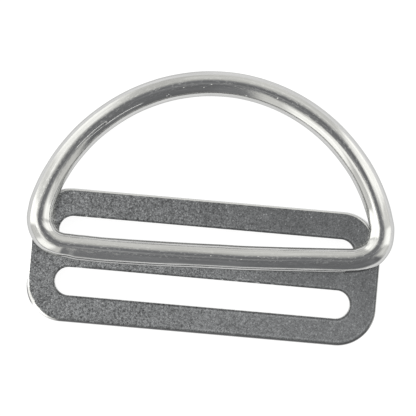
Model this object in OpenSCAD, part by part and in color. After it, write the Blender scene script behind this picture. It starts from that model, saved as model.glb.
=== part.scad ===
// D ring with its two-slot webbing slide, lying on a flat surface.
// Frame: the underside of the slide plate lies on z = 0, centred on the origin, with its length along X.
// The ring's bar lies over the plate, its crown rests on the same surface on the +Y side.

/* [Webbing] */
// Width of the webbing that both pieces take
webbing_w = 50; // [30:0.5:75]

/* [D ring] */
// Thickness of the round wire
wire_d = 4.5; // [3:0.1:6]
// Clear width between the legs beyond the webbing
eye_play = 6.7; // [4:0.1:12]
// Clear height of the eye, from the middle of the bar to the crown
eye_h = 26.5; // [22:0.1:34]
// Inside radius of the two bends between the bar and the legs
bend_r = 2.8; // [1:0.1:6]
// Radius of the bar's slight outward bow
bow_r = 780; // [300:10:3000]

/* [Slide plate] */
// Thickness of the sheet
plate_t = 2; // [1.2:0.1:3]
// Clear length of a slot beyond the webbing
slot_play = 3.1; // [1:0.1:5]
// Clear height of a slot
slot_h = 5.1; // [3:0.1:7]
// Width of the bar between the slots
centre_w = 4; // [3:0.1:8]
// Width of the rails outside the slots
rail_w = 4.9; // [3.5:0.1:8]
// Width of metal past the ends of the slots
end_w = 4.75; // [3.5:0.05:8]
// Corner radius of the plate
corner_r = 7; // [3:0.1:9]
// Radius that blanking rolled onto the upper outer edge
edge_roll = 0.6; // [0.1:0.05:0.9]

/* [How the ring lies] */
// Turn of the ring on the plate, counter-clockwise
lie_turn = 2.2; // [-6:0.1:6]
// Shift of the ring's bar along the plate
lie_along = 0.75; // [-1.5:0.05:1.5]
// Shift of the ring's bar across the plate, towards the crown
lie_across = 1.95; // [-2:0.05:4]
// Gap where the wire rests on the plate
seat_gap = 0.05; // [0.03:0.01:0.2]

/* [Hidden] */
ROUND = 96;
// How far the cutting shapes run past the faces that they cut
past = 1;
// Hairline left between two arcs of the wire, whose surfaces run on into each other
seam = 0.02;

// Ring, on the wire's centreline, in its own plane: the crown's arc is centred on the origin and rises to +Y
wire_r = wire_d / 2;
half_w = (webbing_w + eye_play + wire_d) / 2;
height = eye_h + wire_d;
turn_r = bend_r + wire_r;
bend_x = half_w - turn_r;
// Height of the bends' centres above the middle of the bar, where they run on from its bow
bend_up = bow_r - sqrt(pow(bow_r - turn_r, 2) - pow(bend_x, 2));
bend_drop = height - bend_up;
// Radius of the crown's arc, which runs on from the two bends
crown_r = (pow(bend_x, 2) + pow(bend_drop, 2) - pow(turn_r, 2)) / (2 * (bend_drop - turn_r));
bar_y = crown_r - height;
bend_y = bar_y + bend_up;
bow_y = bar_y + bow_r;
// Angles above +X at which the crown's arc and the bow meet the right bend
crown_from = atan2(bend_y, bend_x);
bow_from = atan2(bend_y - bow_y, bend_x);

// Plate
slot_l = webbing_w + slot_play;
plate_l = slot_l + 2 * end_w;
plate_w = 2 * rail_w + 2 * slot_h + centre_w;
slot_y = (centre_w + slot_h) / 2;

// How the ring rests: its crown on the surface and its legs on the plate's upper edge
// Place of the ring's origin over the plate
lie_x = lie_along + bar_y * sin(lie_turn);
lie_y = lie_across - bar_y * cos(lie_turn);

// Points of the wire's centreline, on the right half of the ring
SEAT_STEP = 1.5;
leg_points = concat(
    [for (a = [bow_from : SEAT_STEP : crown_from]) [bend_x + turn_r * cos(a), bend_y + turn_r * sin(a)]],
    [for (a = [crown_from : SEAT_STEP : 80]) [crown_r * cos(a), crown_r * sin(a)]]
);
wire_points = concat(leg_points, [for (p = leg_points) [-p.x, p.y]]);

// Distance from a point to the flat of the plate's upper face, in plan, with the slots taken as filled
function plan_gap(p) =
    let (q = [abs(p.x) - plate_l / 2 + corner_r, abs(p.y) - plate_w / 2 + corner_r])
    max(0, norm([max(q.x, 0), max(q.y, 0)]) + min(max(q.x, q.y), 0) - corner_r + edge_roll);

function over_plate(p) =
    [lie_x + p.x * cos(lie_turn) - p.y * sin(lie_turn), lie_y + p.x * sin(lie_turn) + p.y * cos(lie_turn)];

// How far a point of the wire has to be lifted off the surface to clear the plate
function lift(p) =
    let (gap = plan_gap(over_plate(p)), reach = wire_r + edge_roll + seat_gap)
    gap < reach ? max(0, plate_t - edge_roll + sqrt(reach * reach - gap * gap) - wire_r) : 0;

// Points of the wire with the lift that each needs
seats = [for (p = wire_points) [p.x, crown_r - p.y, lift(p)]];

// Slope of the ring's plane away from the crown that clears every seat, for a sideways slope
function slope_for(side) = max([for (s = seats) (s[2] - side * s[0]) / s[1]]);

// The sideways slope at which the ring lies lowest, narrowed down from both sides
function level(low, high, rounds) =
    rounds == 0 ? (low + high) / 2 :
    let (a = low + (high - low) / 3, b = high - (high - low) / 3)
    slope_for(a) < slope_for(b) ? level(low, b, rounds - 1) : level(a, high, rounds - 1);

side_slope = level(-0.1, 0.1, 24);
lean = atan(slope_for(side_slope));
roll = atan(side_slope * cos(lean));
// The ring's origin stands above its lowest point by the radius of the crown times the sine of the whole tilt
lie_z = wire_r + crown_r * sqrt(1 - pow(cos(lean) * cos(roll), 2));

// Bent round wire, as an arc of the given radius on the centreline, a hairline short at both ends
module wire_arc(radius, from, to, rounds = ROUND) {
    short = seam / radius * 90 / PI;
    rotate([0, 0, from + short])
        rotate_extrude(angle = to - from - 2 * short, $fn = rounds)
            translate([radius, 0])
                circle(d = wire_d, $fn = ROUND);
}

// Core that joins two arcs across the hairline, just inside the surface of the wire
module core(radius, at)
    rotate([0, 0, at])
        translate([radius, 0, 0])
            rotate([90, 0, 0])
                cylinder(r = wire_r - seam, h = wire_r, center = true, $fn = ROUND);

module bend() {
    wire_arc(turn_r, bow_from, crown_from);
    core(turn_r, bow_from);
    core(turn_r, crown_from);
}

module ring_shape() {
    wire_arc(crown_r, crown_from, 180 - crown_from);
    translate([0, bow_y, 0])
        wire_arc(bow_r, -180 - bow_from, bow_from, 40 * ROUND);
    for (side = [0, 1])
        mirror([side, 0, 0])
            translate([bend_x, bend_y, 0])
                bend();
}

module d_ring()
    color("#c9c8c4")
        translate([lie_x, lie_y, lie_z])
            rotate([0, 0, lie_turn])
                rotate([-lean, 0, 0])
                    rotate([0, -roll, 0])
                        ring_shape();

// Section of the plate's rim: upright outside, with the roll above, and as wide as the corner radius
module rim_section() {
    square([corner_r, plate_t - edge_roll]);
    square([corner_r - edge_roll, plate_t]);
    translate([corner_r - edge_roll, plate_t - edge_roll])
        intersection() {
            circle(r = edge_roll, $fn = ROUND);
            square(edge_roll);
        }
}

// Straight stretch of the rim along X, on the +Y side
module rim(length, out)
    translate([-length / 2, out - corner_r, 0])
        rotate([90, 0, 90])
            linear_extrude(length)
                rim_section();

module plate_blank() {
    inner_l = plate_l - 2 * corner_r;
    inner_w = plate_w - 2 * corner_r;
    translate([-inner_l / 2, -inner_w / 2, 0])
        cube([inner_l, inner_w, plate_t]);
    for (turn = [0, 180])
        rotate([0, 0, turn]) {
            rim(inner_l, plate_w / 2);
            rotate([0, 0, 90])
                rim(inner_w, plate_l / 2);
            for (side = [-1, 1])
                translate([side * inner_l / 2, inner_w / 2, 0])
                    rotate([0, 0, side > 0 ? 0 : 90])
                        rotate_extrude(angle = 90, $fn = ROUND)
                            rim_section();
        }
}

module slot()
    translate([0, 0, -past]) {
        for (side = [-1, 1])
            translate([side * (slot_l - slot_h) / 2, 0, 0])
                cylinder(d = slot_h, h = plate_t + 2 * past, $fn = ROUND);
        translate([(slot_h - slot_l) / 2, -slot_h / 2, 0])
            cube([slot_l - slot_h, slot_h, plate_t + 2 * past]);
    }

module slide_plate()
    color("#73777a")
        difference() {
            plate_blank();
            for (side = [-1, 1])
                translate([0, side * slot_y, 0])
                    slot();
        }

d_ring();
slide_plate();
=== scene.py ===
"""A polished D ring lying on its flat two-slot webbing slide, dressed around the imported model.

Lengths are in millimetres, as a maker writes them, and become metres where a mesh is made. Angles are in
degrees. The row frame has the slide's underside on z = 0, its length along X, and the crown towards +Y.
"""

import logging
import math
from collections.abc import Iterator, Sequence
from dataclasses import dataclass, field
from enum import Enum
from functools import reduce
from typing import Union

import bpy
import numpy as np
from mathutils import Matrix, Vector, geometry


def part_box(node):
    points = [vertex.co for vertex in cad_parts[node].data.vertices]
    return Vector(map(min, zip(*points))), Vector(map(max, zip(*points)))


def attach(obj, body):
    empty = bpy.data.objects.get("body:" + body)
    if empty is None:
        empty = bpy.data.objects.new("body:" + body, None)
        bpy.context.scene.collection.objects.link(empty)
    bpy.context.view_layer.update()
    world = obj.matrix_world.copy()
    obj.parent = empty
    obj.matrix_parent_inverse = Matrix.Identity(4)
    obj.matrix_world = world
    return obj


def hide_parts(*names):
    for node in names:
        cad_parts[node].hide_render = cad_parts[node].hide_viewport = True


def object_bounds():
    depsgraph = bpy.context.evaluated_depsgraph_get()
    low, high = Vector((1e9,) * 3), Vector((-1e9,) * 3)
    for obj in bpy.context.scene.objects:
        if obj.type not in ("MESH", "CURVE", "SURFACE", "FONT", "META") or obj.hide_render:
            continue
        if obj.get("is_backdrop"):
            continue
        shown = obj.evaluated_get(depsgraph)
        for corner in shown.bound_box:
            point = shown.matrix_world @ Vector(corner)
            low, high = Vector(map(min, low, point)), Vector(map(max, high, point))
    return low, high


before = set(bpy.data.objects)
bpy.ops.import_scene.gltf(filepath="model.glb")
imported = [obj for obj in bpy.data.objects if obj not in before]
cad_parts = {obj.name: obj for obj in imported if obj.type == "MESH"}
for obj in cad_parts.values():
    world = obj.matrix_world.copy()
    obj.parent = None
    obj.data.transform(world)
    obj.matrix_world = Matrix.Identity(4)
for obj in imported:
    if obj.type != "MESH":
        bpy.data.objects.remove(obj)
CAD_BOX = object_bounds()

MM = 0.001
DEGREE = math.pi / 180
FULL_TURN = 2 * math.pi
# Share of its half width over which a mark in the wire is fully deep
MARK_FLOOR = 0.1
# Distance under which two corners of a flat face are one
SAME_PLACE = 1e-6
# Least distance from the zenith, so that a direction there has an azimuth
OFF_ZENITH = 1e-4

log = logging.getLogger("webbing_hardware")


class Body(Enum):
    """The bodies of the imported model."""

    ROOT = "root"


class Node(Enum):
    """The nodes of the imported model."""

    D_RING = "d_ring"
    SLIDE_PLATE = "slide_plate"


class Slot(Enum):
    """The record's material slots."""

    POLISHED_WIRE = "polished_wire"
    TUMBLED_SHEET = "tumbled_sheet"


Source = Union["Signal", float, Sequence[float]]
Colour = tuple[float, float, float]


class Signal:
    """The output of a node, on which Python's operators work: they add the nodes that do the sum."""

    def __init__(self, bench: "Bench", socket: bpy.types.NodeSocket) -> None:
        """Wraps a socket.

        Args:
            bench: The bench whose tree the socket is in.
            socket: The output that carries the signal.
        """
        self.bench = bench
        self.socket = socket

    @property
    def is_value(self) -> bool:
        """True for a plain number, false for a vector or a colour."""
        return self.socket.type == "VALUE"

    def _sum(self, operation: str, first: Source, second: Source) -> "Signal":
        """Adds the node for one sum on two terms.

        Args:
            operation: The operation's name, which Math and Vector Math share.
            first: The left term.
            second: The right term.

        Returns:
            The result.
        """
        plain = all(isinstance(term, (int, float)) or (isinstance(term, Signal) and term.is_value)
                    for term in (first, second))
        kind = "ShaderNodeMath" if plain else "ShaderNodeVectorMath"
        return self.bench.add(kind, {"operation": operation}, {0: first, 1: second})

    def __add__(self, other: Source) -> "Signal":
        """Self plus the other term."""
        return self._sum("ADD", self, other)

    def __radd__(self, other: Source) -> "Signal":
        """The other term plus self."""
        return self._sum("ADD", other, self)

    def __sub__(self, other: Source) -> "Signal":
        """Self less the other term."""
        return self._sum("SUBTRACT", self, other)

    def __rsub__(self, other: Source) -> "Signal":
        """The other term less self."""
        return self._sum("SUBTRACT", other, self)

    def __mul__(self, other: Source) -> "Signal":
        """Self times the other term."""
        return self._sum("MULTIPLY", self, other)

    def __rmul__(self, other: Source) -> "Signal":
        """The other term times self."""
        return self._sum("MULTIPLY", other, self)

    def __truediv__(self, other: Source) -> "Signal":
        """Self divided by the other term."""
        return self._sum("DIVIDE", self, other)

    def __rtruediv__(self, other: Source) -> "Signal":
        """The other term divided by self."""
        return self._sum("DIVIDE", other, self)

    def __neg__(self) -> "Signal":
        """Self with the sign turned round."""
        return self * -1.0

    def function(self, operation: str) -> "Signal":
        """Passes a value through a Math node of one term, such as SQRT or ARCCOSINE."""
        return self.bench.add("ShaderNodeMath", {"operation": operation}, {0: self})

    def least(self, other: Source) -> "Signal":
        """The smaller of self and the other term."""
        return self._sum("MINIMUM", self, other)

    def most(self, other: Source) -> "Signal":
        """The larger of self and the other term."""
        return self._sum("MAXIMUM", self, other)

    def angle(self, other: Source) -> "Signal":
        """The angle, in radians, at which self stands over the other term."""
        return self._sum("ARCTAN2", self, other)

    def parts(self) -> tuple["Signal", "Signal", "Signal"]:
        """The three components of a vector."""
        node = self.bench.add("ShaderNodeSeparateXYZ", {}, {0: self}).socket.node
        return tuple(Signal(self.bench, out) for out in node.outputs)

    def distance(self, place: Source) -> "Signal":
        """How far a vector is from a place."""
        return self.bench.add("ShaderNodeVectorMath", {"operation": "DISTANCE"}, {0: self, 1: place}, "Value")

    def over(self, floor: float) -> "Signal":
        """A share from 0 to 1, lifted so that it begins at a floor."""
        return floor + (1 - floor) * self

    def rise(self, low: Source, high: Source) -> "Signal":
        """A smooth step of a value.

        Args:
            low: Where it leaves 0.
            high: Where it reaches 1.

        Returns:
            The step, from 0 to 1.
        """
        inputs = {"Value": self, "From Min": low, "From Max": high}
        return self.bench.add("ShaderNodeMapRange", {"interpolation_type": "SMOOTHSTEP"}, inputs)


class Bench:
    """A node tree that is being wired."""

    def __init__(self, tree: bpy.types.NodeTree) -> None:
        """Clears a tree for wiring."""
        tree.nodes.clear()
        self.tree = tree

    def add(self, kind: str, settings: dict[str, str], inputs: dict[int | str, Source],
            output: int | str = 0) -> Signal:
        """Adds a node.

        Args:
            kind: The node's type.
            settings: Its properties, set first.
            inputs: Values or signals by the name or number of the socket.
            output: The name or number of the output to hand back.

        Returns:
            That output.
        """
        node = self.tree.nodes.new(kind)
        for name, value in settings.items():
            setattr(node, name, value)
        for key, value in inputs.items():
            self.feed(node.inputs[key], value)
        return Signal(self, node.outputs[output])

    def feed(self, socket: bpy.types.NodeSocket, value: Source) -> None:
        """Links a signal to a socket, or sets the socket to a constant.

        Args:
            socket: The input.
            value: What it gets. A number on a vector or colour socket goes to every component.
        """
        if isinstance(value, Signal):
            self.tree.links.new(value.socket, socket)
        elif socket.type in ("RGBA", "VECTOR"):
            parts = (value,) * 3 if isinstance(value, (int, float)) else tuple(value)
            socket.default_value = (*parts, 1) if socket.type == "RGBA" else parts
        elif isinstance(value, (int, float)):
            socket.default_value = value
        else:
            raise ValueError(f"{socket.name} takes one number")

    def end(self, kind: str, shader: Signal) -> None:
        """Adds the output node and links the shader to its surface."""
        self.feed(self.tree.nodes.new(kind).inputs["Surface"], shader)

    def tint(self, share: Source, first: Source, second: Source) -> Signal:
        """Blends two colours.

        Args:
            share: How much of the second there is.
            first: The colour at share 0.
            second: The colour at share 1.

        Returns:
            The blend.
        """
        return self.add("ShaderNodeMix", {"data_type": "RGBA"}, {0: share, 6: first, 7: second}, 2)

    def mottle(self, place: Source, grain: float, detail: float = 2.0) -> Signal:
        """Cloudy noise.

        Args:
            place: Where it is read, in millimetres.
            grain: The size of its patches, in millimetres.
            detail: How many finer layers it has.

        Returns:
            A value from 0 to 1, mostly near 0.5.
        """
        inputs = {"Vector": place, "Scale": 1 / grain, "Detail": detail}
        return self.add("ShaderNodeTexNoise", {"noise_dimensions": "3D"}, inputs)

    def attribute(self, name: str) -> Signal:
        """The vector that the mesh carries under a name."""
        settings = {"attribute_name": name, "attribute_type": "GEOMETRY"}
        return self.add("ShaderNodeAttribute", settings, {}, "Vector")

    def position(self) -> Signal:
        """The place on the piece, in millimetres."""
        return self.add("ShaderNodeTexCoord", {}, {}, "Object") * (1 / MM)

    def bump(self, height: Source, reach: float, under: Signal | None = None) -> Signal:
        """Turns a height into a normal.

        Args:
            height: The height, 1 being the whole reach.
            reach: The height of 1, in millimetres.
            under: A coarser normal that this one lies on.

        Returns:
            The normal.
        """
        inputs = {"Height": height, "Distance": reach * MM}
        if under is not None:
            inputs["Normal"] = under
        return self.add("ShaderNodeBump", {}, inputs)


def new_material(name: str) -> tuple[bpy.types.Material, Bench]:
    """Makes an empty material.

    Args:
        name: Its name.

    Returns:
        The material and the bench to wire it on.
    """
    material = bpy.data.materials.new(name)
    material.use_nodes = True
    return material, Bench(material.node_tree)


def metal(bench: Bench, **inputs: Source) -> None:
    """Ends a tree in a metal surface.

    Args:
        bench: The bench of the material.
        inputs: What the shader's sockets get, with _ for each space in their names.
    """
    sockets = {name.replace("_", " "): value for name, value in inputs.items()}
    shader = bench.add("ShaderNodeBsdfPrincipled", {}, {"Metallic": 1.0, **sockets})
    bench.end("ShaderNodeOutputMaterial", shader)


def new_mesh(name: str, points: Sequence[Vector], faces: Sequence[Sequence[int]]) -> bpy.types.Object:
    """Makes a smooth mesh in the scene.

    Args:
        name: The piece's name.
        points: Its corners, in millimetres in the row frame.
        faces: Corner numbers of each face, counter-clockwise from outside.

    Returns:
        The piece.
    """
    mesh = bpy.data.meshes.new(name)
    mesh.from_pydata([Vector(p) * MM for p in points], [], faces)
    mesh.shade_smooth()
    mesh.validate()
    piece = bpy.data.objects.new(name, mesh)
    bpy.context.scene.collection.objects.link(piece)
    return piece


def carry(piece: bpy.types.Object, name: str, values: Sequence[Sequence[float]]) -> None:
    """Gives each corner of a mesh a vector that its material can read.

    Args:
        piece: The piece.
        name: The attribute's name.
        values: A vector for each corner.
    """
    attribute = piece.data.attributes.new(name, "FLOAT_VECTOR", "POINT")
    attribute.data.foreach_set("vector", np.asarray(values, dtype=np.float32).ravel())


def on_circle(angle: float, radius: float) -> tuple[float, float, float]:
    """The point of a circle at an angle in radians."""
    return (radius * math.cos(angle), radius * math.sin(angle), 0.0)


def smooth(share: float) -> float:
    """A smooth step, from 0 at 0 to 1 at 1, that stays as it is beyond."""
    share = min(1.0, max(0.0, share))
    return share * share * (3 - 2 * share)


class WirePlace:
    """The place on the wire that a material shades, read from two circles, so that it has no seam."""

    def __init__(self, bench: Bench, wire_r: float, length: float) -> None:
        """Reads the place from the mesh.

        Args:
            bench: The bench of the material.
            wire_r: Radius of the wire.
            length: Length of its centreline.
        """
        self.bench = bench
        self.wire_r = wire_r
        self.course_r = length / FULL_TURN
        self.course = bench.attribute("course") * self.course_r
        self.spin = bench.attribute("spin") * wire_r
        self.course_x, self.course_y, _ = self.course.parts()
        self.spin_x, self.spin_y, _ = self.spin.parts()
        self.along = self.course_y.angle(self.course_x) * self.course_r
        self.around = self.spin_y.angle(self.spin_x) / DEGREE

    def lines(self, width: float, run: float) -> Signal:
        """Noise drawn out along the wire.

        Args:
            width: Width of a line.
            run: Length of a line.

        Returns:
            A value from 0 to 1, mostly near 0.5.
        """
        stretch = width / run
        parts = {0: self.course_x * stretch, 1: self.course_y * stretch, 2: self.spin_x}
        place = self.bench.add("ShaderNodeCombineXYZ", {}, parts)
        inputs = {"Vector": place, "W": self.spin_y, "Scale": 1 / width, "Detail": 1.0}
        return self.bench.add("ShaderNodeTexNoise", {"noise_dimensions": "4D"}, inputs)

    def off(self, along: float, around: float) -> tuple[Signal, Signal]:
        """Measures how far off another place is.

        Args:
            along: The other place along the wire, in millimetres.
            around: The other place round the wire, in degrees.

        Returns:
            The distance along the wire and the distance round it, in millimetres.
        """
        return (self.course.distance(on_circle(along / self.course_r, self.course_r)),
                self.spin.distance(on_circle(around * DEGREE, self.wire_r)))


@dataclass(frozen=True)
class Mark:
    """A nick or a short scratch in the wire.

    Attributes:
        along: Its place along the wire's centreline, in millimetres from the left end of the bar.
        around: Its place round the wire, in degrees up from the ring's outer side.
        half_l: Half its length along the wire.
        half_w: Half its width round it.
    """

    along: float
    around: float
    half_l: float = 0.16
    half_w: float = 0.16

    def depth(self, place: WirePlace) -> Signal:
        """Works out how deep the mark is at a place.

        Args:
            place: The place.

        Returns:
            The depth, 1 in its middle.
        """
        off_along, off_around = place.off(self.along, self.around)
        far_along, far_around = off_along / self.half_l, off_around / self.half_w
        far = (far_along * far_along + far_around * far_around).function("SQRT")
        return 1 - far.rise(MARK_FLOOR, 1)


@dataclass(frozen=True)
class Scratch:
    """A long straight scratch in the wire.

    Attributes:
        along_from: Where it begins, in millimetres from the left end of the bar, less than 0 past it.
        around_from: Where it begins round the wire, in degrees.
        along_to: Where it ends along the wire.
        around_to: Where it ends round the wire.
        half_w: Half its width.
        taper: Share of its length over which each end fades.
    """

    along_from: float
    around_from: float
    along_to: float
    around_to: float
    half_w: float
    taper: float = 0.12

    def depth(self, place: WirePlace) -> Signal:
        """Works out how deep the scratch is at a place.

        Args:
            place: The place.

        Returns:
            The depth, 1 in its middle.
        """
        share = (place.along - self.along_from) / (self.along_to - self.along_from)
        aside = place.around - self.around_from - (self.around_to - self.around_from) * share
        off = aside.function("ABSOLUTE") * (place.wire_r * DEGREE / self.half_w)
        return (1 - off.rise(MARK_FLOOR, 1)) * share.rise(0, self.taper) * (1 - share.rise(1 - self.taper, 1))


@dataclass(frozen=True)
class PolishedWire:
    """Bright drawn stainless wire, with fine lines along it and a few nicks.

    Attributes:
        tone: Colour of the bare metal.
        edge_tint: How bright the wire is where it is seen edge-on, against a bare mirror.
        gloss: Roughness of the polish.
        haze: How much rougher the worn streaks are.
        speck_haze: How much rougher the specks are.
        speck_tone: How much lighter they are, partly their own tone and partly painted glitter.
        speck_rise: Noise between which a speck sets in.
        speck_mean: Their mean, at which the metal keeps its own tone.
        side_specks: What is left of them on the sides of the wire.
        clear_specks: What is left of their depth between the clouds.
        clear_haze: What is left of the streaks' roughness there.
        cloud_w: Size of the clouds in which the polish is worn.
        cloud_rise: Noise between which a cloud sets in.
        streak_rise: Noise between which a streak sets in.
        streak_tones: The metal's tone between the streaks and in them, against its own.
        top_from: Height on the wire, of its radius, above which the specks crowd.
        line_l: Length of a drawing line.
        line_w: Width of a broad drawing line.
        hair_w: Width of a fine one.
        line_h: Height of the broad lines.
        hair_h: Height of the fine ones.
        speck_w: Width of the polish's specks.
        speck_l: Their length.
        speck_h: Depth of a speck.
        mark_h: Depth of a mark.
        scratch_h: Depth of a scratch.
        scratch_haze: How much rougher a scratch is.
        scratch_tone: How much lighter it is.
        marks: The nicks.
        scratches: The longer scratches.
    """

    tone: Colour = (0.61, 0.61, 0.605)
    edge_tint: float = 0.68
    gloss: float = 0.06
    haze: float = 0.1
    speck_haze: float = 0.16
    speck_tone: float = 0.2
    speck_rise: tuple[float, float] = (0.5, 0.7)
    speck_mean: float = 0.2
    side_specks: float = 0.3
    clear_specks: float = 0.4
    clear_haze: float = 0.3
    cloud_w: float = 6.0
    cloud_rise: tuple[float, float] = (0.35, 0.65)
    streak_rise: tuple[float, float] = (0.4, 0.6)
    streak_tones: tuple[float, float] = (1.08, 0.9)
    top_from: float = 0.85
    line_l: float = 12.0
    line_w: float = 0.6
    hair_w: float = 0.22
    line_h: float = 0.016
    hair_h: float = 0.006
    speck_w: float = 0.2
    speck_l: float = 0.6
    speck_h: float = 0.005
    mark_h: float = 0.05
    scratch_h: float = 0.012
    scratch_haze: float = 0.6
    scratch_tone: float = 0.8
    marks: tuple[Mark, ...] = (
        Mark(112.0, 128, 0.16, 0.14),
        Mark(111.6, 123, 0.12, 0.10),
        Mark(111.3, 134, 0.12, 0.12),
        Mark(108.7, 104, 0.16, 0.10),
        Mark(105.0, 114, 0.10, 0.10),
        Mark(103.6, 100, 0.14, 0.10),
        Mark(97.0, 137, 0.20, 0.14),
        Mark(91.4, 100, 0.16, 0.18),
        Mark(124.3, 112, 0.14, 0.14),
        Mark(138.6, 81, 0.18, 0.12),
        Mark(26.0, 94, 0.14, 0.10),
        Mark(31.4, 86, 0.22, 0.08),
        Mark(34.4, 103, 0.14, 0.10),
    )
    scratches: tuple[Scratch, ...] = (
        Scratch(-28.3, 120.4, -37.4, 121.6, 0.12),
        Scratch(-22.5, 117, -28.8, 120, 0.055),
        Scratch(-21.5, 105.5, -29.8, 108.5, 0.065),
    )

    def dress(self, wire_r: float, length: float) -> bpy.types.Material:
        """Makes the material.

        Args:
            wire_r: Radius of the wire.
            length: Length of its centreline.

        Returns:
            The material.
        """
        material, bench = new_material("polished_wire")
        place = WirePlace(bench, wire_r, length)
        broad = place.lines(self.line_w, self.line_l)
        fine = place.lines(self.hair_w, self.line_l)
        specks = place.lines(self.speck_w, self.speck_l)
        cloud = bench.mottle(bench.position(), self.cloud_w).rise(*self.cloud_rise)
        nicked = reduce(Signal.most, [mark.depth(place) for mark in self.marks])
        scratched = sum(scratch.depth(place) for scratch in self.scratches)
        peened = specks * cloud.over(self.clear_specks)
        reliefs = ((broad, self.line_h), (fine, self.hair_h), (peened, self.speck_h),
                   (1 - nicked, self.mark_h), (1 - scratched, self.scratch_h))
        normal = None
        for height, reach in reliefs:
            normal = bench.bump(height, reach, under=normal)
        top = place.spin_y.rise(self.top_from * wire_r, wire_r)
        peppered = specks.rise(*self.speck_rise) * top.over(self.side_specks)
        streaks = broad.rise(*self.streak_rise) * 0.5 + fine.rise(*self.streak_rise) * 0.5
        tone = bench.tint(streaks, *(tuple(share * c for c in self.tone) for share in self.streak_tones))
        # The specks' lighter tone is partly painted glitter, and it crowds on the top of the wire.
        tone = tone * (1 + self.speck_tone * (peppered - self.speck_mean))
        tone = tone * (1 + self.scratch_tone * scratched)
        roughness = self.gloss + self.haze * (streaks * cloud.over(self.clear_haze))
        roughness = roughness + self.speck_haze * peppered + self.scratch_haze * scratched
        metal(bench, Base_Color=tone, Roughness=roughness, Normal=normal, Specular_Tint=(self.edge_tint,) * 3)
        return material


@dataclass(frozen=True)
class TumbledSheet:
    """Dull grey stainless sheet as tumbling leaves it: dimpled, and flecked with painted glints, most of all
    at its left end.

    Attributes:
        tone: Colour of the face.
        rim_tone: Colour of the rolled rim.
        edge_shade: How dark the painted shade along the edges makes the metal, against the face.
        plain_light: How light the face is at its upper right corner, against its tone.
        corner_light: How much lighter it is at its lower left corner.
        corner_slant: How much that lightening follows the sheet's length, against its width.
        corner_rise: Where it begins and where it is full, in lengths and widths from the middle.
        end_shade: How much darker the face is at its left end.
        end_rise: Where that begins and where it is full, in lengths from the middle.
        leg_shadow: How much darker the sheet is close by the ring's left leg, a painted shadow of the leg.
        dull: Roughness of the face.
        bright: Roughness of the rolled rim.
        dimple_w: Spacing of the dimples.
        dimple_h: Their depth.
        grit_w: Spacing of the fine grit.
        contrast: How strongly the grain shows in the colour.
        calm: How much weaker it is at the right end.
        calm_rise: Where that begins and where it is full, in lengths from the middle.
        rim_calm: How far the dimples are rolled flat on the rim.
        fleck_w: Spacing of the cells that may hold a fleck.
        fleck_light: How light a fleck's painted glint is against the grain.
        fleck_mean: The flecks' mean, at which the face keeps its own tone.
        fleck_rise: Distance from its cell's middle, in cells, over which a fleck ends.
        chance_rise: The cell's chance between which a fleck sets in.
        patch_w: Size of the lighter and darker patches.
        patch_light: How far they differ.
    """

    tone: Colour = (0.503, 0.51, 0.51)
    rim_tone: Colour = (0.73, 0.73, 0.73)
    edge_shade: float = 0.52
    plain_light: float = 0.88
    corner_light: float = 0.36
    corner_slant: float = 0.9
    corner_rise: tuple[float, float] = (-0.75, 0.25)
    end_shade: float = 0.2
    end_rise: tuple[float, float] = (0.41, 0.49)
    leg_shadow: float = 0.3
    dull: float = 0.2
    bright: float = 0.15
    dimple_w: float = 0.31
    dimple_h: float = 0.035
    grit_w: float = 0.17
    contrast: float = 4.2
    calm: float = 0.5
    calm_rise: tuple[float, float] = (-0.3, 0.5)
    rim_calm: float = 0.85
    fleck_w: float = 0.45
    fleck_light: float = 0.38
    fleck_mean: float = 0.03
    fleck_rise: tuple[float, float] = (0.1, 0.4)
    chance_rise: tuple[float, float] = (0.55, 1.0)
    patch_w: float = 3.0
    patch_light: float = 0.5

    def dress(self, length: float, width: float) -> bpy.types.Material:
        """Makes the material.

        Args:
            length: Length of the sheet.
            width: Width of the sheet.

        Returns:
            The material.
        """
        material, bench = new_material("tumbled_sheet")
        place = bench.position()
        x, y, _ = place.parts()
        x, y = x / length, y / width
        rim, cut, near = bench.attribute("edge").parts()
        # Lighter towards the lower left corner.
        worn = (-self.corner_slant * x - y).rise(*self.corner_rise)
        coarse = 1 - self.calm * x.rise(*self.calm_rise)
        dimples = bench.mottle(place, self.dimple_w, 1.0)
        grit = bench.mottle(place, self.grit_w, 1.0)
        patches = bench.mottle(place, self.patch_w)
        inputs = {"Vector": place, "Scale": 1 / self.fleck_w}
        cells = bench.add("ShaderNodeTexVoronoi", {"feature": "F1"}, inputs)
        chance, _, _ = Signal(bench, cells.socket.node.outputs["Color"]).parts()
        fleck = (1 - cells.rise(*self.fleck_rise)) * chance.rise(*self.chance_rise)
        # The flecks are painted glints on the dents, and the grain's tone is partly the dimples' own and
        # partly painted glitter.
        grain = (dimples - 0.5) * 0.5 + (grit - 0.5) * 0.5 + self.fleck_light * (fleck - self.fleck_mean)
        light = self.plain_light + self.corner_light * worn - self.end_shade * (-x).rise(*self.end_rise)
        light = (light + self.patch_light * (patches - 0.5)) * (1 + self.contrast * coarse * grain)
        # Painted shade along the edges darkens the tone; below 0 it turns to painted light that lightens it.
        tone = bench.tint(rim, light * self.tone, self.rim_tone) * (1 - (1 - self.edge_shade) * cut)
        # Painted shadow of the ring's left leg on the sheet.
        tone = tone * (1 - self.leg_shadow * near)
        normal = bench.bump(dimples * (1 - self.rim_calm * rim), self.dimple_h)
        roughness = self.dull + (self.bright - self.dull) * rim
        metal(bench, Base_Color=tone, Roughness=roughness, Normal=normal)
        return material


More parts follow.
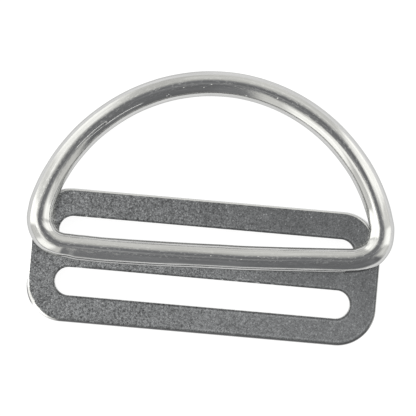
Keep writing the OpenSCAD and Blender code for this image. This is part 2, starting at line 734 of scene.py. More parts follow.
@dataclass(frozen=True)
class Arc:
    """A stretch of the wire's centreline, in the ring's own plane.

    Attributes:
        centre: Its centre.
        radius: Its radius.
        start: The angle at which it begins, above +X.
        end: The angle at which it ends.
    """

    centre: tuple[float, float]
    radius: float
    start: float
    end: float

    @property
    def length(self) -> float:
        """How long the stretch is."""
        return self.radius * (self.end - self.start) * DEGREE

    def at(self, share: float) -> tuple[Vector, Vector]:
        """A point of the stretch and the way out of the ring there.

        Args:
            share: How far along it lies, from 0 to 1.

        Returns:
            The point and the outward unit vector.
        """
        angle = (self.start + (self.end - self.start) * share) * DEGREE
        out = Vector((math.cos(angle), math.sin(angle), 0))
        return Vector((*self.centre, 0)) + self.radius * out, out


@dataclass(frozen=True)
class Knot:
    """A value that holds at a place along the wire.

    Attributes:
        along: The place, in millimetres from the left end of the bar.
        value: The value.
    """

    along: float
    value: float

    @staticmethod
    def between(knots: Sequence["Knot"], along: float, length: float) -> float:
        """Reads the smooth run through some knots.

        Args:
            knots: The knots in order.
            along: The place to read it at.
            length: Length of the wire, which closes on itself.

        Returns:
            The value there. Past the last knot it stays as it is, round to the first.
        """
        if along < knots[0].along:
            along += length
        for before, after in zip(knots, knots[1:]):
            if along <= after.along:
                share = (along - before.along) / (after.along - before.along)
                return before.value + (after.value - before.value) * smooth(share)
        return knots[-1].value


@dataclass
class DRing:
    """One piece of round wire bent to a D, lying with its crown on the surface and its legs on the slide.

    Attributes:
        wire_d: Thickness of the wire.
        eye_w: Clear width between the legs.
        eye_h: Clear height from the middle of the bar to the crown.
        bend_r: Inside radius of the two bends.
        bow_r: Radius of the bar's slight outward bow.
        turn: Turn on the slide, counter-clockwise.
        along: Shift of the bar along the slide.
        across: Shift of the bar across it.
        lean: Slope of the ring's plane down to the crown.
        roll: Its slope sideways.
        sways: How far the hand-bent wire runs outside its drawn line, along the wire.
        slims: How much thinner the wire is on its outer side, along the wire.
        swells: How much thicker it is on its inner side, where it was bent.
        skews: How far the crest is pushed over towards the inside, in radii, along the wire.
        press: How far the inside of the right bend is flattened by the mandrel, along the wire.
        press_spread: How much further out the flattened side swells before the flat, in radii.
        press_flat: Where the flat lies, as a share of the wire's radius.
        press_from: Reach inside from which the side swells.
        press_over: How much further in the swelling is full.
        press_sharp: How sharply the flat begins.
        leg_crown: Shares of the crown's arc between which it passes the slide on the left.
        leg_bend: Shares of the left bend between which it does.
        crown_points: How many points stand for the first of these.
        bend_points: How many stand for the second.
        near_w: How far off its left leg the painted shadow of the leg darkens the slide.
        rounds: Faces round the wire.
        step: Length of a face along the wire.
        finish: Its surface.
    """

    wire_d: float = 4.5
    eye_w: float = 56.7
    eye_h: float = 26.5
    bend_r: float = 2.8
    bow_r: float = 780.0
    turn: float = 2.2
    along: float = 0.75
    across: float = 1.95
    lean: float = 4.651
    roll: float = -0.377
    sways: tuple[Knot, ...] = (
        Knot(0, -0.19), Knot(2.5, -0.11), Knot(7, 0.0), Knot(27, 0.0), Knot(32, 0.06), Knot(38, 0.03),
        Knot(44, 0.0), Knot(52.5, 0.0), Knot(55, 0.07), Knot(57, 0.03), Knot(59, -0.04), Knot(60.6, 0.09),
        Knot(64.5, 0.15), Knot(71, 0.14), Knot(75, 0.08), Knot(98, 0.065), Knot(104, 0.01), Knot(110, -0.06),
        Knot(116, -0.11), Knot(123, -0.14), Knot(130, -0.07), Knot(136, 0.0), Knot(139.6, 0.08),
        Knot(142.9, 0.12), Knot(145.5, -0.04), Knot(148.2, -0.1), Knot(150.2, -0.11), Knot(152.6, -0.19),
    )
    slims: tuple[Knot, ...] = (
        Knot(0, 0.2), Knot(2.4, 0.0), Knot(15, 0.0), Knot(24, 0.12), Knot(44, 0.14), Knot(49.5, 0.12),
        Knot(52.5, 0.28), Knot(53.4, 0.27), Knot(55.5, 0.07), Knot(57.5, 0.0), Knot(149.6, 0.0),
        Knot(152, 0.2),
    )
    swells: tuple[Knot, ...] = (
        Knot(51, 0.0), Knot(52.8, 0.17), Knot(54.2, 0.18), Knot(57, 0.0), Knot(137, 0.0), Knot(140.5, 0.03),
        Knot(143.5, 0.06), Knot(146, 0.2), Knot(148.2, 0.16), Knot(150.4, 0.04), Knot(152, 0.0),
    )
    skews: tuple[Knot, ...] = (
        Knot(8, 0.0), Knot(14, -0.03), Knot(26, -0.06), Knot(32, -0.08),
        Knot(38, -0.07), Knot(43, 0.0), Knot(50, 0.01), Knot(52.5, 0.08), Knot(55.2, 0.09), Knot(58.3, 0.03),
        Knot(61, 0.06), Knot(64.4, 0.06), Knot(70, 0.03), Knot(75, 0.0), Knot(130, 0.0), Knot(135, 0.05),
        Knot(141, 0.07), Knot(144.5, 0.06), Knot(146.7, 0.015), Knot(150.4, 0.075), Knot(153.4, 0.0),
    )
    press: tuple[Knot, ...] = (Knot(54.5, 0.0), Knot(57, 1.0), Knot(58.8, 1.0), Knot(61, 0.75), Knot(65, 0.0))
    press_spread: float = 0.3
    press_flat: float = 0.935
    press_from: float = 0.35
    press_over: float = 0.45
    press_sharp: int = 20
    leg_crown: tuple[float, float] = (0.86, 0.98)
    leg_bend: tuple[float, float] = (0.0, 0.6)
    crown_points: int = 7
    bend_points: int = 3
    near_w: float = 1.3
    rounds: int = 96
    step: float = 0.26
    finish: PolishedWire = field(default_factory=PolishedWire)

    def __post_init__(self) -> None:
        """Works out the centreline: four arcs that run on into each other, as bar, bend, crown and bend."""
        turn_r = self.bend_r + self.wire_d / 2
        bend_x = (self.eye_w + self.wire_d) / 2 - turn_r
        height = self.eye_h + self.wire_d
        bend_up = self.bow_r - math.sqrt((self.bow_r - turn_r) ** 2 - bend_x ** 2)
        drop = height - bend_up
        self.crown_r = (bend_x ** 2 + drop ** 2 - turn_r ** 2) / (2 * (drop - turn_r))
        self.bar_y = self.crown_r - height
        bend_y = self.bar_y + bend_up
        bow_y = self.bar_y + self.bow_r
        crown_from = math.atan2(bend_y, bend_x) / DEGREE
        bow_from = math.atan2(bend_y - bow_y, bend_x) / DEGREE
        self.arcs = [
            Arc((0, bow_y), self.bow_r, -180 - bow_from, bow_from),
            Arc((bend_x, bend_y), turn_r, bow_from, crown_from),
            Arc((0, 0), self.crown_r, crown_from, 180 - crown_from),
            Arc((-bend_x, bend_y), turn_r, 180 - crown_from, 180 - bow_from),
        ]
        _, _, crown, bend = self.arcs
        self.left_leg = self._run(crown, self.leg_crown, self.crown_points)
        self.left_leg += self._run(bend, self.leg_bend, self.bend_points)

    def _run(self, arc: Arc, shares: tuple[float, float], count: int) -> list[Vector]:
        """Points along a part of an arc.

        Args:
            arc: The arc.
            shares: The shares of it at which the part begins and ends.
            count: How many points there are.

        Returns:
            The points, in the row frame.
        """
        start, end = shares
        placing = self.placing()
        return [placing @ arc.at(start + (end - start) * k / (count - 1))[0] for k in range(count)]

    def placing(self) -> Matrix:
        """How the ring's own frame lies in the row frame."""
        level = math.cos(self.lean * DEGREE) * math.cos(self.roll * DEGREE)
        place = Vector((
            self.along + self.bar_y * math.sin(self.turn * DEGREE),
            self.across - self.bar_y * math.cos(self.turn * DEGREE),
            self.wire_d / 2 + self.crown_r * math.sqrt(1 - level ** 2),
        ))
        return (Matrix.Translation(place) @ Matrix.Rotation(self.turn * DEGREE, 4, "Z")
                @ Matrix.Rotation(-self.lean * DEGREE, 4, "X") @ Matrix.Rotation(-self.roll * DEGREE, 4, "Y"))

    def build(self) -> bpy.types.Object:
        """Bends the wire, dresses it and sets it on the slide.

        Returns:
            The ring.
        """
        length = sum(arc.length for arc in self.arcs)
        placing = self.placing()
        points, courses, spins = [], [], []
        passed = 0.0
        for arc in self.arcs:
            count = round(arc.length / self.step)
            for k in range(count):
                centre, out = arc.at(k / count)
                along = passed + arc.length * k / count
                way = FULL_TURN * along / length
                centre += Knot.between(self.sways, along, length) * out
                press = Knot.between(self.press, along, length)
                outer = 1 - 2 * Knot.between(self.slims, along, length) / self.wire_d
                inner = 1 + 2 * Knot.between(self.swells, along, length) / self.wire_d
                skew = Knot.between(self.skews, along, length)
                for j in range(self.rounds):
                    angle = FULL_TURN * j / self.rounds
                    reach = self._reach(math.cos(angle), outer, inner, press)
                    reach -= skew * max(0.0, math.sin(angle)) ** 2
                    side = reach * out + math.sin(angle) * Vector((0, 0, 1))
                    points.append(placing @ (centre + self.wire_d / 2 * side))
                    courses.append((math.cos(way), math.sin(way), 0))
                    spins.append((math.cos(angle), math.sin(angle), 0))
            passed += arc.length
        piece = new_mesh("d_ring_wire", points, self._faces(len(points) // self.rounds))
        carry(piece, "course", courses)
        carry(piece, "spin", spins)
        piece.data.materials.append(self.finish.dress(self.wire_d / 2, length))
        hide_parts(Node.D_RING.value)
        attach(piece, Body.ROOT.value)
        return piece

    def nearness(self, place: Vector) -> float:
        """Tells how close a place of the slide is to the inner side of the left leg.

        Args:
            place: The place, in the row frame.

        Returns:
            1 at the wire, falling to 0 further off and at other stretches of the wire.
        """
        flat = place.xy
        near = 0.0
        for leg in self.left_leg:
            far = (flat - leg.xy).length - self.wire_d / 2
            near = max(near, 1 - far / self.near_w)
        return smooth(near)

    def _reach(self, reach: float, outer: float, inner: float, press: float) -> float:
        """How far the wire's surface reaches outward, which is less on the side that the mandrel pressed.

        Args:
            reach: The round wire's reach, from -1 inside to 1 outside.
            outer: Share of its reach that the outer side has.
            inner: Share of its reach that the inner side has.
            press: How far the inside is flattened.

        Returns:
            The reach of the real wire.
        """
        if reach >= 0:
            return reach * outer
        wide = -reach + self.press_spread * smooth((-reach - self.press_from) / self.press_over)
        flat = wide / (1 + (wide / self.press_flat) ** self.press_sharp) ** (1 / self.press_sharp)
        return reach * inner + press * (-flat - reach)

    def _faces(self, sections: int) -> list[tuple[int, int, int, int]]:
        """The faces between the wire's sections, the last of which joins the first."""
        faces = []
        for i in range(sections):
            here, there = i * self.rounds, (i + 1) % sections * self.rounds
            for j in range(self.rounds):
                k = (j + 1) % self.rounds
                faces.append((here + j, there + j, there + k, here + k))
        return faces


@dataclass(frozen=True)
class Station:
    """A place on an outline.

    Attributes:
        place: Where it is.
        inward: The unit vector into the metal there.
    """

    place: Vector
    inward: Vector


@dataclass(frozen=True)
class Outline:
    """A rectangle with rounded corners, or a slot where the corners take up its whole height.

    Attributes:
        length: Its length along X.
        width: Its width along Y.
        corners: Radii of its corners, from the upper right one round counter-clockwise.
        centre: The place of its middle.
        metal: 1 where the metal is inside it, -1 where the metal is outside.
    """

    length: float
    width: float
    corners: tuple[float, float, float, float]
    centre: tuple[float, float] = (0.0, 0.0)
    metal: int = 1

    def stations(self, spacing: float) -> Iterator[Station]:
        """Walks round the outline, counter-clockwise.

        Args:
            spacing: The largest gap between two stations.

        Yields:
            The stations.
        """
        shift = Vector(self.centre)
        signs = ((1, 1), (-1, 1), (-1, -1), (1, -1))
        centres = [Vector((a * (self.length / 2 - r), b * (self.width / 2 - r)))
                   for (a, b), r in zip(signs, self.corners)]
        for quarter, (centre, radius) in enumerate(zip(centres, self.corners)):
            steps = math.ceil(radius * math.pi / 2 / spacing)
            straight = centres[(quarter + 1) % 4] - centre
            straight = abs(straight.x if quarter % 2 == 0 else straight.y)
            count = math.ceil(straight / spacing)
            walk = [(k / steps, 0.0) for k in range(steps + (straight > spacing))]
            walk += [(1.0, straight * k / count) for k in range(1, count)]
            for turned, ahead in walk:
                angle = (quarter + turned) * math.pi / 2
                out = Vector((math.cos(angle), math.sin(angle)))
                along = Vector((-out.y, out.x))
                yield Station(centre + radius * out + ahead * along + shift, -self.metal * out)


@dataclass(frozen=True)
class Notch:
    """A small chip in the upper edge of a slot.

    Attributes:
        x: Its place along the slide.
        y: Its place across the slide.
        half_l: Half its length.
        depth: How far it reaches into the metal.
    """

    x: float
    y: float
    half_l: float = 0.3
    depth: float = 0.14

    def reach(self, place: Vector) -> float:
        """How strongly it bites at a place, from 0 to 1."""
        far = min(1.0, (place - Vector((self.x, self.y))).length / self.half_l)
        return (1 - far * far) ** 2


@dataclass(frozen=True)
class Lip:
    """A stretch of the outer edge that the punch drew out into a wider roll, with a painted highlight on the
    roll and a thin line of painted shade on its rim.

    Attributes:
        x: Its middle along the slide.
        y: Its middle across the slide.
        half_l: Half its length.
        end: Length of its soft ends.
        out: How far it stands out of the outline.
        roll: How much wider the roll is there.
        shade: How dark the painted shade on its rim is.
    """

    x: float = -31.0
    y: float = -7.2
    half_l: float = 2.9
    end: float = 1.3
    out: float = 0.08
    roll: float = 0.26
    shade: float = 1.7

    def share(self, place: Vector) -> float:
        """How far a place belongs to it, from 0 to 1."""
        return smooth((self.half_l - (place - Vector((self.x, self.y))).length) / self.end)


@dataclass(frozen=True)
class EdgeRow:
    """A row of corners along an edge of the sheet, from the upper face down to the lower one.

    Attributes:
        inset: Distance into the metal, as a share of the edge's roll.
        drop: Depth under the upper face, as a share of the edge's roll.
        inset_mm: Distance into the metal on top of that.
        height: Height of a row that lies near the lower face, or none for a row of the roll.
        rim: How far the row belongs to the rolled rim.
        cut: How much painted shade the row carries, along the slots' sheared edges and on the roll where that
            is dark.
        brow: True at the beginning of the roll.
        painted_edge_light: How much painted light the row carries.
        lip: True for the thin rim of the drawn-out stretch.
        chipped: True where a notch moves the row.
    """

    inset: float = 0.0
    drop: float = 0.0
    inset_mm: float = 0.0
    height: float | None = None
    rim: float = 0.0
    cut: float = 0.0
    brow: bool = False
    painted_edge_light: float = 0.0
    lip: bool = False
    chipped: bool = False


@dataclass
class SlidePlate:
    """A flat stamped blank with two long round-ended slots, its upper outer edge rolled over.

    Attributes:
        length: Its length.
        width: Its width.
        thick: Thickness of the sheet.
        foot_more: How much further it reaches on the side away from the crown.
        right_more: How much further it reaches at the right end.
        corners: Radii of its corners, from the upper right one round counter-clockwise.
        slot_l: Length of a slot.
        slot_h: Height of a slot.
        centre_w: Width of the bar between the slots.
        up_shift: How far the upper slot was punched off its place, across the slide.
        low_shift: How far the lower slot was.
        aside: How far both were, along the slide.
        rolls: Radii rolled onto the upper outer edge, at every eighth of a turn from the right end round
            counter-clockwise.
        shades: How much painted shade that edge carries there, up to 1; less than 0 is a painted highlight on
            the roll.
        brow: How much painted shade it carries all round where the roll begins.
        slot_roll: Radius of the upper edges of the slots.
        notches: Chips in the edges of the slots.
        worn_from: Depth of a chip from which its place has no dark line.
        lip: The drawn-out stretch of its outer edge.
        cut_w: Width of the line that follows the edges, with painted shade at the edge itself.
        dark_at: How far in the dark is full, as a share of that width.
        outer_dark: How dark it is there along the blank's outline, against a slot.
        light_line_at: How far in the painted light line runs, as a share of that width.
        painted_edge_light: How light that painted line is just inside the painted shade line, against its
            darkness.
        light_line_from: Where along the slide that painted light line begins.
        light_line_full: Where it is as light as it gets.
        foot_break: Chamfer of the lower edges.
        spacing: Spacing of the mesh along the edges.
        grid: Spacing of the mesh on the faces.
        roll_steps: Faces across a rolled edge.
        brow_steps: How many of them belong to the beginning of the roll, where it turns bright.
        dark_steps: How many of them can be dark.
        lip_steps: How many of them lie above the thin rim of the lip.
        crease: Angle between two faces from which their edge is sharp.
        finish: Its surface.
    """

    length: float = 62.6
    width: float = 24.0
    thick: float = 2.0
    foot_more: float = 0.04
    right_more: float = 0.05
    corners: tuple[float, float, float, float] = (7.0, 7.0, 6.3, 6.9)
    slot_l: float = 53.1
    slot_h: float = 5.1
    centre_w: float = 4.0
    up_shift: float = -0.07
    low_shift: float = -0.15
    aside: float = 0.1
    rolls: tuple[float, ...] = (0.12, 0.9, 0.5, 0.6, 0.25, 0.75, 0.4, 0.35)
    shades: tuple[float, ...] = (0.9, 0.0, 0.0, 0.0, -0.7, -0.7, 1.0, 1.0)
    brow: float = 0.3
    slot_roll: float = 0.1
    notches: tuple[Notch, ...] = (
        Notch(-21.8, 7.1, 0.35, 0.12),
        Notch(-19.5, 7.1, 0.4, 0.16),
        Notch(-22.3, -2.1, 0.6, 0.1),
        Notch(3.4, -2.1, 0.3, 0.14),
        Notch(5.85, -2.1, 0.35, 0.14),
        Notch(9.8, -2.1, 0.5, 0.14),
        Notch(12.5, -2.1, 0.4, 0.12),
    )
    worn_from: float = 0.02
    lip: Lip = Lip()
    cut_w: float = 0.62
    dark_at: float = 0.2
    outer_dark: float = 0.5
    light_line_at: float = 0.6
    painted_edge_light: float = 0.6
    light_line_from: float = -16.0
    light_line_full: float = 3.0
    foot_break: float = 0.06
    spacing: float = 0.2
    grid: float = 0.5
    roll_steps: int = 9
    brow_steps: int = 2
    dark_steps: int = 8
    lip_steps: int = 4
    crease: float = 40.0
    finish: TumbledSheet = field(default_factory=TumbledSheet)

    def roll_at(self, station: Station, outer: bool) -> float:
        """Tells how far an edge is rolled over at a station.

        Args:
            station: The place on the outline.
            outer: True for the blank's outline, false for a slot's.

        Returns:
            The radius of the roll.
        """
        return self._round_about(self.rolls, station) if outer else self.slot_roll

    @staticmethod
    def _round_about(values: Sequence[float], station: Station) -> float:
        """Reads one of the values that are given at every eighth of a turn.

        Args:
            values: The values, from the right end round counter-clockwise.
            station: The place on the outline.

        Returns:
            The value there.
        """
        eighths = math.atan2(-station.inward.y, -station.inward.x) / DEGREE / 45 % 8
        before = int(eighths) % 8
        share = eighths - int(eighths)
        return values[before] + (values[(before + 1) % 8] - values[before]) * share

    def edge_rows(self, outer: bool) -> list[EdgeRow]:
        """Lists the rows of corners down an edge.

        Args:
            outer: True for the blank's outline, false for a slot's.

        Returns:
            The rows.
        """
        side = float(not outer)
        rows = [
            EdgeRow(inset=1, inset_mm=self.cut_w),
            EdgeRow(inset=1, inset_mm=self.light_line_at * self.cut_w, painted_edge_light=self.painted_edge_light),
            EdgeRow(inset=1, inset_mm=self.dark_at * self.cut_w, cut=self.outer_dark if outer else 1.0),
        ]
        for k in range(self.roll_steps + 1):
            angle = math.pi / 2 * k / self.roll_steps
            inset, drop = 1 - math.sin(angle), 1 - math.cos(angle)
            if outer:
                rim, cut = min(1.0, k / self.brow_steps), float(k < self.dark_steps)
                brow, lip = k < self.brow_steps, k > self.lip_steps
                rows.append(EdgeRow(inset, drop, rim=rim, cut=cut, brow=brow, lip=lip))
            else:
                rows.append(EdgeRow(inset, drop, cut=1, chipped=True))
        if not outer:
            rows.append(EdgeRow(height=self.thick - 2 * self.slot_roll, cut=1))
        rows.append(EdgeRow(height=self.foot_break, rim=float(outer), cut=side, lip=outer))
        rows.append(EdgeRow(height=0.0, inset_mm=self.foot_break, rim=float(outer), cut=side))
        return rows

    def build(self, ring: DRing) -> bpy.types.Object:
        """Stamps the blank, dresses it and lays it down.

        Args:
            ring: The ring that lies on it.

        Returns:
            The slide.
        """
        slot_y = (self.centre_w + self.slot_h) / 2
        ends = (self.slot_h / 2,) * 4
        outlines = [
            Outline(self.length + self.right_more, self.width + self.foot_more, self.corners,
                    (self.right_more / 2, -self.foot_more / 2)),
            Outline(self.slot_l, self.slot_h, ends, (self.aside, slot_y + self.up_shift), metal=-1),
            Outline(self.slot_l, self.slot_h, ends, (self.aside, self.low_shift - slot_y), metal=-1),
        ]
        points, marks, faces = [], [], []
        top_loops, foot_loops = [], []
        for outline in outlines:
            outer = outline.metal > 0
            stations = list(outline.stations(self.spacing))
            loops = []
            for row in self.edge_rows(outer):
                loops.append(range(len(points), len(points) + len(stations)))
                for station in stations:
                    point, cut = self._corner(row, station, outer)
                    points.append(point)
                    marks.append([row.rim, cut, ring.nearness(point)])
            for upper, lower in zip(loops, loops[1:]):
                for k in range(len(stations)):
                    n = (k + 1) % len(stations)
                    face = (upper[k], lower[k], lower[n], upper[n])
                    faces.append(face if outer else face[::-1])
            top_loops.append(loops[0])
            foot_loops.append(loops[-1])
        for loops, up in ((top_loops, True), (foot_loops, False)):
            inner = self._fill(points, faces, loops, up)
            points += inner
            marks += [[0.0, 0.0, ring.nearness(point)] for point in inner]
        piece = new_mesh("slide_sheet", points, faces)
        carry(piece, "edge", marks)
        piece.data.set_sharp_from_angle(angle=self.crease * DEGREE)
        piece.data.materials.append(self.finish.dress(self.length, self.width))
        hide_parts(Node.SLIDE_PLATE.value)
        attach(piece, Body.ROOT.value)
        return piece

    def _corner(self, row: EdgeRow, station: Station, outer: bool) -> tuple[Vector, float]:
        """Places a corner of the mesh on an edge.

        Args:
            row: The row down the edge.
            station: The place on the outline.
            outer: True for the blank's outline, false for a slot's.

        Returns:
            The corner, and how much painted shade the edge carries there, below 0 where painted light lifts
            it.
        """
        lip = self.lip.share(station.place) if outer else 0.0
        roll = self.roll_at(station, outer) + self.lip.roll * lip
        bite = max(notch.reach(station.place) * notch.depth for notch in self.notches)
        chip = bite if row.chipped else 0.0
        inset = row.inset * roll + row.inset_mm + chip - self.lip.out * lip
        place = station.place + inset * station.inward
        height = self.thick - row.drop * roll if row.height is None else row.height
        worn = row.height is None and bite > self.worn_from
        # The outline carries painted shade at its foot, lower right corner and right end, and a painted
        # highlight on its roll at the left end and lower left corner.
        shade = self._round_about(self.shades, station) if outer else float(not worn)
        cut = max(row.cut * shade, self.brow) if row.brow else row.cut * shade
        # The lip's rim carries a thin line of painted shade.
        if row.lip:
            cut += (self.lip.shade - cut) * lip
        # Painted light just inside the painted shade line, fading in along the slide.
        light_line_share = smooth((place.x - self.light_line_from) / (self.light_line_full - self.light_line_from))
        return Vector((*place, height)), cut - row.painted_edge_light * max(0.0, shade) * light_line_share

    def _fill(self, points: Sequence[Vector], faces: list[Sequence[int]], loops: Sequence[range],
              up: bool) -> list[Vector]:
        """Fills a flat face between its loops.

        Args:
            points: The mesh's corners.
            faces: The mesh's faces, to which the new ones are added.
            loops: Corner numbers of the outer loop, then of the holes.
            up: True for the upper face, false for the lower one.

        Returns:
            The face's inner corners, which follow the mesh's own.
        """
        known = [n for loop in loops for n in loop]
        flat = [points[n].xy for n in known]
        height = points[known[0]].z
        edges, first = [], 0
        for loop in loops:
            edges += [(first + k, first + (k + 1) % len(loop)) for k in range(len(loop))]
            first += len(loop)
        rings = [np.array([points[n].xy for n in loop]) for loop in loops]
        grid = self._grid_points()
        inner = [Vector((*place, height)) for place in grid[self._in_metal(grid, rings, self.grid / 2)]]
        flat += [point.xy for point in inner]
        known += range(len(points), len(points) + len(inner))
        corners, _, triangles, origins, _, _ = geometry.delaunay_2d_cdt(flat, edges, [], 0, SAME_PLACE)
        corners = np.array([tuple(c) for c in corners])
        middles = corners[np.array(triangles)].mean(axis=1)
        for triangle, kept in zip(triangles, self._in_metal(middles, rings, 0.0)):
            if kept:
                numbers = [known[origins[c][0]] for c in triangle]
                faces.append(numbers if up else numbers[::-1])
        return inner

    def _grid_points(self) -> np.ndarray:
        """Points of a staggered grid over the blank."""
        rows, columns = math.floor(self.width / self.grid), math.floor(self.length / self.grid)
        i, j = np.meshgrid(np.arange(columns + 1), np.arange(rows + 1))
        x = (i - columns / 2 + 0.5 * (j % 2)) * self.grid
        y = (j - rows / 2) * self.grid
        return np.column_stack([x.ravel(), y.ravel()])

    @staticmethod
    def _in_metal(places: np.ndarray, rings: Sequence[np.ndarray], clear: float) -> np.ndarray:
        """Tells which places lie in the metal.

        Args:
            places: Places on the face.
            rings: Corners of the outer loop, then of the holes.
            clear: Distance to keep from every loop.

        Returns:
            True for each place in the outer loop and outside the holes.
        """
        inside = np.zeros(len(places), dtype=bool)
        near = np.full(len(places), np.inf)
        x, y = places.T
        for ring in rings:
            for start, end in zip(ring, np.roll(ring, -1, axis=0)):
                if start[1] != end[1]:
                    spans = (start[1] > y) != (end[1] > y)
                    run = (end[0] - start[0]) / (end[1] - start[1])
                    inside ^= spans & (x < start[0] + (y - start[1]) * run)
                near = np.minimum(near, np.hypot(x - start[0], y - start[1]))
        return inside & (near > clear)


@dataclass(frozen=True)
class Panel:
    """A stretch of the tent's wall, as the ring reflects it.

    Attributes:
        azimuth: Where its middle stands, counter-clockwise from the picture's right.
        half_width: Half its width.
        light: How bright it is.
        begins: The angle from the zenith at which it begins to brighten.
        full: The angle from the zenith at which it is as bright as it gets.
        edge: Width of its soft edges.
    """

    azimuth: float
    half_width: float
    light: float
    begins: float
    full: float
    edge: float = 8.0


@dataclass(frozen=True)
class Spot:
    """A soft round light in the tent's wall.

    Attributes:
        azimuth: Where it stands, counter-clockwise from the picture's right.
        tilt: Its angle from the zenith.
        reach: The angle from its middle at which it ends.
        light: How much it adds.
    """

    azimuth: float
    tilt: float
    reach: float
    light: float

    @property
    def full(self) -> float:
        """The angle from its middle within which it is as bright as it gets, a third of its reach."""
        return self.reach / 3


@dataclass
class LightTent:
    """A white tent round the object, open towards the foot of the picture and dimmer overhead.

    Attributes:
        turn: Turn of the picture's axes against the row frame.
        ceiling: Light from straight above.
        shade: Light from round the camera.
        shade_rise: Angles from the zenith between which the ceiling's light becomes the shade's.
        wall: The tent's plain wall.
        panels: Stretches that differ from it, each laid over those before.
        spots: Lights in it.
        lens_ring: Light of the bright ring round the lens, on top of the ceiling's.
        ring_begins: Angles from the zenith between which that ring sets in.
        ring_ends: Angles from the zenith between which it ends.
        ring_drop: How much darker it is outside it, in its own light.
        dim: Tint of the dim parts.
        bright: Tint of the bright parts.
        tint_rise: Light between which the one tint becomes the other.
        strength: Scale of all its light.
    """

    turn: float
    ceiling: float = 0.285
    shade: float = 0.235
    shade_rise: tuple[float, float] = (3.0, 14.0)
    wall: Panel = Panel(0, 180, 0.78, 16, 57)
    panels: tuple[Panel, ...] = (
        Panel(145, 40, 0.92, 8, 34),
        Panel(-165, 20, 0.75, 8, 30),
        Panel(105, 6, 0.67, 12, 42),
        Panel(130, 11, 1.36, 10, 46),
        Panel(169, 15, 1.6, 6, 30),
        Panel(-135, 14.5, 1.36, 10, 46),
        Panel(-110.5, 6.5, 0.78, 2, 28),
        Panel(15, 30, 0.86, 10, 48, 12),
        Panel(-1, 11, 1.33, 9, 48),
        Panel(33, 9, 1.36, 18, 54),
        Panel(39, 6, 1.36, 12, 45),
        Panel(-71, 35, 0.18, 5, 34, 10),
        Panel(-97, 5, 0.23, 5, 34),
        Panel(-56, 5, 0.22, 46, 56, 6),
    )
    spots: tuple[Spot, ...] = (
        Spot(-161, 31, 14, 0.5),
    )
    lens_ring: float = 0.08
    ring_begins: tuple[float, float] = (1.0, 2.0)
    ring_ends: tuple[float, float] = (2.5, 4.5)
    ring_drop: float = 1.5
    dim: Colour = (0.987, 1.0, 1.028)
    bright: Colour = (1.0, 0.998, 0.96)
    tint_rise: tuple[float, float] = (0.2, 0.55)
    strength: float = 1.18

    def hang(self) -> None:
        """Makes the world."""
        world = bpy.data.worlds.new("light_tent")
        world.use_nodes = True
        bpy.context.scene.world = world
        bench = Bench(world.node_tree)
        x, y, z = bench.add("ShaderNodeTexCoord", {}, {}, "Generated").parts()
        lamps = 0.0
        for spot in self.spots:
            azimuth, away = (spot.azimuth + self.turn) * DEGREE, math.sin(spot.tilt * DEGREE)
            facing = (x * (away * math.cos(azimuth)) + y * (away * math.sin(azimuth))
                      + z * math.cos(spot.tilt * DEGREE))
            share = facing.rise(math.cos(spot.reach * DEGREE), math.cos(spot.full * DEGREE))
            lamps = spot.light * share + lamps
        level = (x * x + y * y).function("SQRT").most(OFF_ZENITH)
        x, y = x / level, y / level
        tilt = z.least(1.0).most(-1.0).function("ARCCOSINE") / DEGREE
        light, begins, full = self.wall.light, self.wall.begins, self.wall.full
        for panel in self.panels:
            middle = (panel.azimuth + self.turn) * DEGREE
            facing = x * math.cos(middle) + y * math.sin(middle)
            outer = math.cos(min(180.0, panel.half_width + panel.edge / 2) * DEGREE)
            inner = math.cos((panel.half_width - panel.edge / 2) * DEGREE)
            share = facing.rise(outer, inner)
            light = light + (panel.light - light) * share
            begins = begins + (panel.begins - begins) * share
            full = full + (panel.full - full) * share
        above = self.ceiling + (self.shade - self.ceiling) * tilt.rise(*self.shade_rise)
        ring = tilt.rise(*self.ring_begins) - tilt.rise(*self.ring_ends) * self.ring_drop
        above = above + self.lens_ring * ring
        glow = above + (light - above) * tilt.rise(begins, full) + lamps
        tint = bench.tint(glow.rise(*self.tint_rise), self.dim, self.bright)
        shader = bench.add("ShaderNodeBackground", {}, {"Color": tint, "Strength": glow * self.strength})
        bench.end("ShaderNodeOutputWorld", shader)


@dataclass
class Floor:
    """The pale surface that the object lies on.

    Attributes:
        radius: How far it reaches.
        sides: Sides of its outline.
        drop: How far it lies below the object.
        tone: Its colour.
        dull: Its roughness.
        glow: Light of its own, as of a light table.
        dark_from: How far off towards the foot of the picture it begins to darken.
        dark_full: Where it is as dark as it gets.
        dark: What is left of its light there.
    """

    radius: float = 1500.0
    sides: int = 96
    drop: float = 0.02
    tone: Colour = (0.2, 0.2, 0.2)
    dull: float = 0.9
    glow: float = 0.92
    dark_from: float = 29.0
    dark_full: float = 42.0
    dark: float = 0.4

    def lay(self) -> bpy.types.Object:
        """Makes the floor and sets it apart from the object.

        Returns:
            The floor.
        """
        angles = [FULL_TURN * k / self.sides for k in range(self.sides)]
        points = [Vector((self.radius * math.cos(a), self.radius * math.sin(a), -self.drop)) for a in angles]
        floor = new_mesh("floor", points, [range(self.sides)])
        material, bench = new_material("pale_floor")
        _, y, _ = bench.position().parts()
        light = 1 - (1 - self.dark) * (-y).rise(self.dark_from, self.dark_full)
        shader = bench.add("ShaderNodeBsdfPrincipled", {}, {
            "Base Color": self.tone, "Roughness": self.dull, "Specular IOR Level": 0.0,
            "Emission Color": bench.tint(light, (0.0,) * 3, (1.0,) * 3), "Emission Strength": self.glow})
        bench.end("ShaderNodeOutputMaterial", shader)
        floor.data.materials.append(material)
        floor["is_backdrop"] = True
        return floor


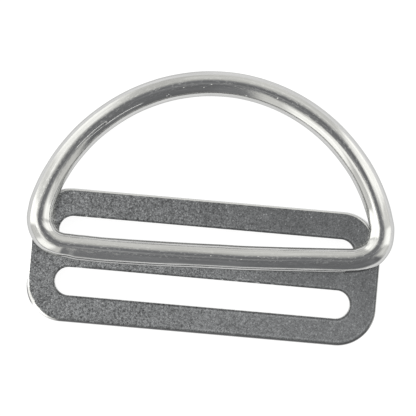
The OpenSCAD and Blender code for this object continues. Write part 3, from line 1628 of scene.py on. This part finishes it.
@dataclass
class Viewpoint:
    """The camera, straight above the object.

    Attributes:
        picture: Width of the picture, in pixels.
        scale: Pixels to a millimetre at the slide's upper face.
        slide_middle: Where the middle of the slide stands in the picture, in pixels from its top left.
        turn: How far the picture is turned against the row frame, counter-clockwise.
        distance: Height of the camera over the slide's upper face.
        thick: Height of the slide's upper face.
        sensor: Width of the camera's sensor.
        nearest: Distance from which the camera sees.
        furthest: Distance to which it sees.
    """

    picture: float = 416.0
    scale: float = 5.58
    slide_middle: tuple[float, float] = (203.9, 266.7)
    turn: float = 5.02
    distance: float = 500.0
    thick: float = 2.0
    sensor: float = 36.0
    nearest: float = 10.0
    furthest: float = 10000.0

    def place(self) -> bpy.types.Object:
        """Makes the camera and hands the scene to it.

        Returns:
            The camera.
        """
        middle = self.picture / 2
        aside = Vector((middle - self.slide_middle[0], self.slide_middle[1] - middle)) / self.scale
        aside = Matrix.Rotation(self.turn * DEGREE, 2) @ aside
        data = bpy.data.cameras.new("viewpoint")
        data.sensor_width = self.sensor
        data.lens = self.sensor * self.distance / (self.picture / self.scale)
        data.clip_start, data.clip_end = self.nearest * MM, self.furthest * MM
        camera = bpy.data.objects.new("viewpoint", data)
        camera.location = Vector((*aside, self.thick + self.distance)) * MM
        camera.rotation_euler = (0, 0, self.turn * DEGREE)
        bpy.context.scene.collection.objects.link(camera)
        bpy.context.scene.camera = camera
        return camera


def report(piece: bpy.types.Object, node: Node) -> None:
    """Logs a piece's size against that of the node it stands for.

    Args:
        piece: The piece.
        node: The node.
    """
    low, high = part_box(node.value)
    corners = [v.co for v in piece.data.vertices]
    drift = max(
        max(abs(min(c[axis] for c in corners) - low[axis]), abs(max(c[axis] for c in corners) - high[axis]))
        for axis in range(3))
    faces = len(piece.data.polygons)
    log.info("%s: %d faces, within %.3f mm of %s", piece.name, faces, drift / MM, node.value)


def write_sizes() -> None:
    """Works out the CAD model's box and the visual model's box, and keeps neither."""
    boxes = {"cad": CAD_BOX, "visual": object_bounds()}
    {name: [list(corner) for corner in box] for name, box in boxes.items()}


def main() -> None:
    """Builds the scene in order."""
    logging.basicConfig(level=logging.INFO, format="%(name)s: %(message)s")
    bpy.context.scene.view_settings.view_transform = "Standard"
    viewpoint = Viewpoint()
    viewpoint.place()
    LightTent(turn=viewpoint.turn).hang()
    Floor().lay()
    ring = DRing()
    report(SlidePlate().build(ring), Node.SLIDE_PLATE)
    report(ring.build(), Node.D_RING)
    write_sizes()


if __name__ == "__main__":
    main()
